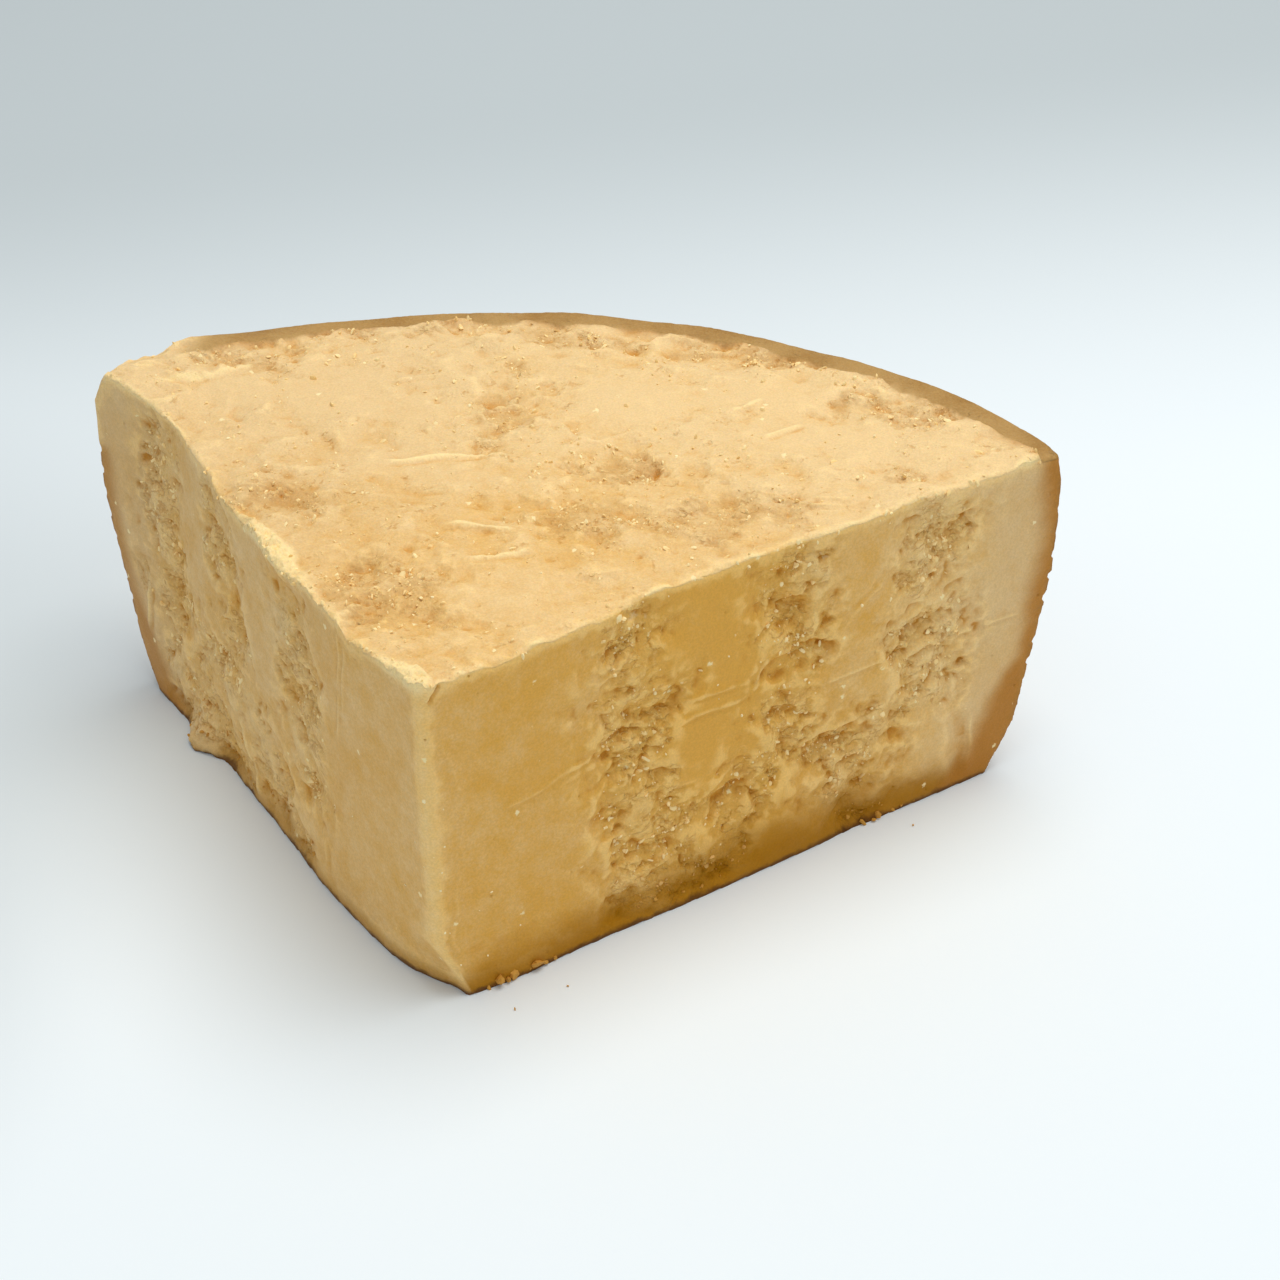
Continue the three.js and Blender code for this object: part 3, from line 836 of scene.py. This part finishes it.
cheeseLook = {
    "pale": linear(239, 204, 144),
    "deep": linear(224, 166, 62),
    "crumb": linear(255, 220, 156),
    "goldCrumb": linear(255, 209, 122),
    # ochre of the torn cheese's pits, also painted shade in hollows and in the lows of the flake
    # bump
    "pit": linear(202, 132, 8),
    # dark ochre for painted shade in the fine cracks
    "crack": linear(188, 120, 10),
    "stain": linear(206, 158, 92),
    "nearRind": linear(184, 122, 44),
    "greyed": linear(214, 180, 130),
    # golden brown up from the foot: partly cheese browning towards the base rind, partly painted
    # shadow
    "footRindAndShade": linear(172, 114, 0),
    "rim": linear(180, 143, 86),
    "rimDark": linear(158, 118, 62),
    "rind": linear(184, 130, 56),
    "rindDark": linear(156, 104, 42),
    "foot": linear(90, 52, 20),
    "crystal": linear(255, 234, 176),
    # painted highlight along the edges and raised knife ridges, and the pale crumbly left edge
    "worn": linear(255, 226, 162),
    "roughness": 0.5,
    "cheeseGloss": 0.3,
    "rindGloss": 0.08,
    "glow": 0.1,  # share of light that passes under the surface
    "glowDepth": 0.0015,
    "bumpHeight": 0.001,
}


def fineCracks(m, place, torn):  # short ones in patches, on the top no more than dashes: a line of painted shade in each, with a painted highlight along one side
    top = m.attribute("top")
    dashes = m.ramp(m.timesPlus(top, -0.12, m.noise(place, 400, 2)), 0.36, 0.46)
    stretched = m.node("Mapping", {"Vector": place, "Scale": (1, 1, 1.6)}).outputs[0]
    line = m.noise(stretched, 170, 2, 0.5)
    patch = m.ramp(m.timesPlus(torn, 0.2, m.noise(place, 140, 2)), 0.62, 0.74)
    patch = m.times(patch, m.times(dashes, m.ramp(torn, 0.05, 0.5)))
    crack, lip = (
        m.times(patch, m.ramp(m.math("ABSOLUTE", m.plus(line, -level)), width, 0.0))
        for level, width in ((0.5, 0.055), (0.56, 0.03))
    )
    return crack, lip


def crystalSpecks(m, place, bare):
    scattered = m.node("TexNoise", {"Vector": place, "Scale": 900.0}).outputs["Color"]
    jagged = m.vector("ADD", place, m.vector("SCALE", scattered, scale=0.0022))
    cells = m.node("TexVoronoi", {"Vector": jagged, "Scale": 190.0}, feature="F1").outputs
    rare = m.ramp(m.node("SeparateColor", {0: cells["Color"]}).outputs[0], 0.88, 0.91)
    return m.times(m.ramp(cells["Distance"], 0.2, 0.1), m.times(rare, bare))


def cheeseMaterial():
    look = cheeseLook
    m = Maker("cheese")
    place = m.place()
    height = m.apart(place)[2]
    torn, gold, hollow = m.attribute("torn"), m.attribute("gold"), m.attribute("hollow")
    skin, rim = m.attribute("skin"), m.attribute("rim")
    footRindAndShade, nearRind = m.attribute("footRindAndShade"), m.attribute("nearRind")
    broad = m.noise(place, 45, 3)
    middle = m.noise(place, 170, 4)
    fine = m.noise(place, 800, 4, 0.65)
    flakes = m.noise(place, 330, 5, 0.7)
    mottle = m.timesPlus(broad, 0.8, m.timesPlus(middle, 0.7, -0.75))
    mottle = m.plus(mottle, m.timesPlus(fine, 0.7, -0.35))
    golden = m.ramp(m.plus(gold, mottle), 0.0, 1.3)
    crumb = m.mix(golden, look["crumb"], look["goldCrumb"])
    crack, lip = fineCracks(m, place, torn)
    stained = m.timesPlus(middle, 0.8, m.plus(m.attribute("stain"), -0.8))
    blotch = m.ramp(m.plus(broad, m.timesPlus(fine, 0.5, -0.25)), 0.25, 0.7)
    atFloor = m.timesPlus(middle, -0.004, height)
    # each colour lies over the ones before it: how much of it, and which
    colour = m.mix(golden, look["pale"], look["deep"])
    for share, tint in (
        (m.times(torn, 0.2), crumb),
        # cream on the peaks of the flake bump: paler flakes of torn cheese, and painted highlight
        (m.times(torn, m.ramp(flakes, 0.54, 0.64, 0.0, 0.75)), crumb),
        (m.times(m.attribute("greyed"), 0.4), look["greyed"]),
        # ochre in the lows of the flake bump: the torn cheese's darker spots, and painted shade
        (m.times(torn, m.ramp(flakes, 0.4, 0.3, 0.0, 0.35)), look["pit"]),
        (m.times(m.ramp(stained, 0.0, 0.5), 0.8), look["stain"]),
        # painted shade in hollows, in pit colour, and painted highlight on raised points, in crumb
        # colour
        (m.ramp(hollow, 0.06, 0.8, 0.0, 0.9), look["pit"]),
        (m.ramp(hollow, -0.05, -0.5, 0.0, 0.6), crumb),
        # painted highlight beside the fine cracks, then painted shade in them
        (m.times(lip, 0.6), crumb),
        (m.times(crack, 0.45), look["crack"]),
        # painted highlight along the edges and raised ridges, with the pale crumbly left edge
        (m.attribute("edge"), look["worn"]),
        # golden-brown band at the foot, partly painted shadow
        (m.times(footRindAndShade, 0.95), look["footRindAndShade"]),
        (m.times(nearRind, 0.95), look["nearRind"]),
        (m.times(skin, 0.92), m.mix(blotch, look["rindDark"], look["rind"])),
        (m.times(rim, 0.9), m.mix(blotch, look["rimDark"], look["rim"])),
        (m.ramp(atFloor, 0.0005, -0.0015, 0.0, 0.8), look["foot"]),
    ):
        colour = m.mix(share, colour, tint)
    grain = m.ramp(m.noise(place, 1500, 2, 0.6), 0.3, 0.7, 0.93, 1.05)
    colour = m.vector("SCALE", colour, scale=grain)
    bare = m.ramp(m.math("MAXIMUM", skin, rim), 0.2, 0.0)
    colour = m.mix(m.times(crystalSpecks(m, place, bare), 0.8), colour, look["crystal"])
    bumps = m.timesPlus(lip, 0.2, m.times(flakes, m.ramp(torn, 0, 1, 0.1, 1.0)))
    bumps = m.plus(m.timesPlus(crack, -0.12, bumps), m.times(fine, 0.22))
    bump = m.node("Bump", {"Height": bumps, "Strength": 1.0, "Distance": look["bumpHeight"]})
    dry = m.math("MAXIMUM", m.math("MAXIMUM", skin, rim), m.math("MAXIMUM", footRindAndShade, nearRind))
    return m.finish(
        {
            "Base Color": colour,
            "Roughness": look["roughness"],
            "Specular IOR Level": m.ramp(dry, 0, 1, look["cheeseGloss"], look["rindGloss"]),
            "Subsurface Weight": look["glow"],
            "Subsurface Radius": (1, 0.6, 0.25),
            "Subsurface Scale": look["glowDepth"],
            "Normal": bump.outputs[0],
        }
    )


def makeChunk():
    piece = addPlainChunk()
    applyModifier(piece, "REMESH", mode="VOXEL", voxel_size=chunk["voxel"] * mm)
    print("chunk: remeshed to", len(piece.data.polygons), "faces")
    weather(piece)
    print("chunk: torn and worn")
    share = min(1, chunk["triangles"] / (2 * len(piece.data.polygons)))
    applyModifier(piece, "DECIMATE", ratio=share, use_collapse_triangulate=True)
    print("chunk: thinned to", len(piece.data.polygons), "triangles")
    bpy.ops.object.shade_smooth()
    noteSurface(piece)
    piece.data.materials.clear()
    piece.data.materials.append(cheeseMaterial())
    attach(piece, "root")
    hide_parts("cheese_chunk")
    return piece


# Crumbs and crystals

grains = {  # what both are copies of, 1 mm in radius
    "segments": 7,
    "rings": 4,
    "unevenness": 0.42,
    "seed": 4,
    "largestTurn": 6.3,
}
crumbs = {
    "onCheese": 2400,
    "smallest": 0.35,
    "largest": 1.3,
    "mostlySmall": 2.5,  # higher makes more of them small
    "topHeight": 114,
    "onSmoothTop": 0.3,  # how likely one is there, where torn cheese has 1
    "aboveFloor": 3,
    "thickness": 0.5,  # at most, of their size
    # at the foot of the right face: along, out from it, size
    "foot": [
        (15, 2.6, 1.2), (18.6, 3.4, 3.2), (21.4, 3.2, 1.6), (23.6, 2.9, 2.6), (29.4, 2.4, 1.4),
        (31.6, 2.6, 2.8), (34.4, 2.4, 1.8), (38, 2.2, 1.3), (91, 0.4, 1.4), (155, 0.2, 1.5),
        (159, 0.6, 1.1), (161, -0.2, 1.8), (167, -0.5, 1.2), (171, -0.8, 1.4), (176, -0.6, 1.2),
    ],
    # on the floor: across, back, size
    "floor": [(22.7, 1.3, 0.6), (36, 14, 0.5), (130, 108, 0.6)],
    "light": linear(255, 232, 174),
    "dark": linear(250, 214, 144),
    "footColour": linear(206, 150, 62),
}
crystals = {
    # on the top: across, back, size
    "top": [
        (-105, 122, 0.8), (-85, 137, 1.5), (-83, 139, 0.7), (-78, 127, 1), (-25, 148, 1.6),
        (-24, 136, 1.3), (-94, 113, 1.2), (-98, 117, 0.9), (-128, 140, 1.2), (-125, 138, 0.8),
        (-66, 106, 1), (46, 131, 1.3), (60, 179, 1.1), (84, 172, 1), (105, 152, 1.6),
        (112, 150, 0.9), (-8, 44, 1), (20, 60, 0.8), (5, 94, 0.8),
    ],
    # on the right face, then on the left: along, up, size
    "right": [
        (0.6, 78, 1.6), (5.7, 74, 1), (5.5, 60, 0.8), (2.1, 57, 0.7), (4.3, 51, 0.9),
        (2.6, 44, 0.9), (3.2, 27, 1.2), (4.6, 26, 0.8), (18.6, 36, 1.1), (14.4, 32, 0.6),
        (15.7, 12, 0.9), (7.6, 12, 0.9), (103, 87, 0.9), (100, 78, 1.1), (99, 73, 0.7),
        (108, 64, 1.2), (131, 84, 1), (27, 18, 0.8), (150, 88, 1.5),
    ],
    "left": [
        (14.7, 38, 1.1), (6.7, 58, 0.9), (78, 63, 1.1), (81, 60, 0.9), (2.9, 53, 0.7),
        (42, 44, 0.7),
    ],
    "lowestTop": 100,
    "topShare": 0.6,  # of its size that a crystal keeps there
    "sideShare": 0.45,
    "thickness": 0.9,
    "colour": linear(255, 236, 184),
}


def crumbMaterial(name, light, dark, low):
    m = Maker(name)
    place = m.place()
    colour = m.mix(m.ramp(m.noise(place, 160, 3), 0.35, 0.65), light, dark)
    colour = m.mix(m.ramp(m.apart(place)[2], 0.03, 0.004), colour, low)
    rough = m.noise(place, 1500, 3, 0.6)
    bump = m.node("Bump", {"Height": rough, "Strength": 0.4, "Distance": 0.0002}).outputs[0]
    return m.finish(
        {"Base Color": colour, "Roughness": 0.6, "Specular IOR Level": 0.2, "Normal": bump}
    )


def modelGrain(name):
    bpy.ops.object.select_all(action="DESELECT")
    bpy.ops.mesh.primitive_uv_sphere_add(
        segments=grains["segments"], ring_count=grains["rings"], radius=mm
    )
    piece = bpy.context.object
    piece.name = piece.data.name = name
    bpy.ops.object.mode_set(mode="EDIT")
    bpy.ops.mesh.select_all(action="SELECT")
    bpy.ops.transform.vertex_random(offset=grains["unevenness"] * mm, seed=grains["seed"])
    bpy.ops.object.mode_set(mode="OBJECT")
    return piece


def scatter(piece, spots, seed, thickness):  # a copy at each spot: place and size
    draw = np.random.default_rng(seed)
    x0, y0 = chunk["frontEdge"]
    least, most = (0.6, 0.35, 0.6 * thickness), (1.4, 0.9, thickness)
    bpy.ops.object.select_all(action="DESELECT")
    for x, y, z, size in spots:
        copy = piece.copy()
        copy.data = piece.data.copy()
        bpy.context.scene.collection.objects.link(copy)
        turn = Euler(draw.uniform(0, grains["largestTurn"], 3)).to_matrix().to_4x4()
        shape = Matrix.Diagonal((*(size * draw.uniform(least, most)), 1))
        place = Matrix.Translation(Vector((x + x0, y + y0, z)) * mm)
        copy.matrix_world = place @ turn @ shape
        copy.select_set(True)
    piece.data.clear_geometry()
    piece.select_set(True)
    bpy.context.view_layer.objects.active = piece
    bpy.ops.object.join()
    return piece


def crumbSpots(cheese):
    p = placesOf(cheese)
    x, y, z = p.T
    draw = np.random.default_rng(5)
    likely, skin, rim = np.zeros((3, len(p)))
    for name, values in (("torn", likely), ("skin", skin), ("rim", rim)):
        cheese.data.attributes[name].data.foreach_get("value", values)
    clumped = smooth(0, 0.4, noise(x / 12 + z / 9, y / 12 - z / 14, 150))
    likely[(z > crumbs["topHeight"]) & (likely < 0.5)] = crumbs["onSmoothTop"]
    likely *= (z > crumbs["aboveFloor"]) * (skin + rim < 0.1) * (0.15 + clumped)
    chosen = draw.choice(len(p), crumbs["onCheese"], replace=False, p=likely / likely.sum())
    growth = draw.random(len(chosen)) ** crumbs["mostlySmall"]
    sizes = crumbs["smallest"] + (crumbs["largest"] - crumbs["smallest"]) * growth
    spots = [(*p[k], size) for k, size in zip(chosen, sizes)]
    for along, out, size in crumbs["foot"]:
        spots.append((*(along * rightAlong[:2] + out * rightOut[:2]), 0.75 * size, size))
    return spots + [(x, y, 0.6 * size, size) for x, y, size in crumbs["floor"]]


def makeCrumbs(cheese):
    spots = crumbSpots(cheese)
    piece = scatter(modelGrain("cheeseCrumbs"), spots, 6, crumbs["thickness"])
    p = placesOf(piece)
    p[:, 2] = np.maximum(p[:, 2], 0)
    setPlaces(piece, p)
    colours = crumbs["light"], crumbs["dark"], crumbs["footColour"]
    piece.data.materials.append(crumbMaterial("crumb", *colours))
    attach(piece, "root")
    print("crumbs:", len(spots))


def makeCrystals(cheese):  # each at the cheese's nearest point
    p = placesOf(cheese)
    farOff = 100  # keeps out the points of other faces
    spots = []
    for x, y, size in crystals["top"]:
        notTop = p[:, 2] < crystals["lowestTop"]
        near = np.hypot(p[:, 0] - x, p[:, 1] - y) + farOff * notTop
        spots.append((x, y, p[near.argmin(), 2], crystals["topShare"] * size))
    for face, faceAlong, outward in (("right", rightAlong, rightOut), ("left", leftAlong, leftOut)):
        behind = p @ outward < -chunk["reliefDepth"]
        for along, up, size in crystals[face]:
            near = np.hypot(p @ faceAlong - along, p[:, 2] - up) + farOff * behind
            spots.append((*p[near.argmin()], crystals["sideShare"] * size))
    piece = scatter(modelGrain("cheeseCrystals"), spots, 8, crystals["thickness"])
    colour = crystals["colour"]
    piece.data.materials.append(crumbMaterial("crystal", colour, colour, colour))
    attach(piece, "root")
    print("crystals:", len(spots))


# The floor, the light and the camera

studio = {
    "floor": linear(235, 242, 245),
    # colour of the painted shade towards the back and the painted shadow left of the cheese
    "floorShade": linear(190, 198, 200),
    "floorSize": 8,
    "floorMiddle": (0, 1, 0),
    "world": (0.93, 0.97, 1.0, 1),
    "worldStrength": 0.555,
    "lamp": (0.27, 0.3, 1.9),
    "lampSize": 1.5,
    "lampPower": 25.4,
    "lampColour": (1, 0.99, 0.97),
    "camera": (158.1, -466.5, 496.7),  # from the foot of the front edge
    "turn": -11.71,
    "down": 36.52,
    "roll": -0.19,
    "lens": 64.69,
    "sensor": 36,
}


def makeFloor():  # painted shade towards the back, where the backdrop gets less light, and a painted shadow at the left of the cheese
    bpy.ops.object.select_all(action="DESELECT")
    bpy.ops.mesh.primitive_grid_add(
        x_subdivisions=4, y_subdivisions=24, size=studio["floorSize"],
        location=studio["floorMiddle"],
    )
    floor = bpy.context.object
    floor.name = "floor"
    bpy.ops.object.transform_apply(location=True, rotation=True, scale=True)
    m = Maker("paper")
    across, away, _ = m.apart(m.place())
    # painted shade towards the back
    back = m.ramp(m.timesPlus(across, -0.46, away), 0.1, 0.6)
    # painted shadow of the cheese at its left
    left = m.times(m.ramp(across, -0.09, -0.2), m.ramp(away, 0.22, 0.02, 0.0, 0.65))
    colour = m.mix(m.plus(back, left), studio["floor"], studio["floorShade"])
    paper = m.finish({"Base Color": colour, "Roughness": 0.7, "Specular IOR Level": 0.2})
    floor.data.materials.append(paper)


def lightScene():
    scene = bpy.context.scene
    scene.world = bpy.data.worlds.new("room")
    scene.world.use_nodes = True
    background = scene.world.node_tree.nodes["Background"]
    background.inputs["Color"].default_value = studio["world"]
    background.inputs["Strength"].default_value = studio["worldStrength"]
    data = bpy.data.lights.new("overhead", "AREA")
    data.shape = "DISK"
    data.size = studio["lampSize"]
    data.energy = studio["lampPower"]
    data.color = studio["lampColour"]
    lamp = bpy.data.objects.new("overhead", data)
    scene.collection.objects.link(lamp)
    lamp.location = studio["lamp"]
    toCheese = Vector((0, 0, 0)) - Vector(studio["lamp"])
    lamp.rotation_euler = toCheese.to_track_quat("-Z", "Y").to_euler()
    scene.view_settings.view_transform = "Standard"


def addCamera():
    turn, down, roll = (math.radians(studio[k]) for k in ("turn", "down", "roll"))
    level = math.cos(down)
    forward = Vector((math.sin(turn) * level, math.cos(turn) * level, -math.sin(down)))
    across = forward.cross(Vector((0, 0, 1))).normalized()
    upward = across.cross(forward)
    right = math.cos(roll) * across + math.sin(roll) * upward
    raised = -math.sin(roll) * across + math.cos(roll) * upward
    data = bpy.data.cameras.new("camera")
    data.lens = studio["lens"]
    data.sensor_width = studio["sensor"]
    camera = bpy.data.objects.new("camera", data)
    bpy.context.scene.collection.objects.link(camera)
    place = (Vector(studio["camera"]) + Vector((*chunk["frontEdge"], 0))) * mm
    axes = Matrix((right, raised, -forward)).transposed().to_4x4()
    camera.matrix_world = Matrix.Translation(place) @ axes
    bpy.context.scene.camera = camera


cheese = makeChunk()
makeCrumbs(cheese)
makeCrystals(cheese)
makeFloor()
lightScene()
addCamera()
print("scene is set")
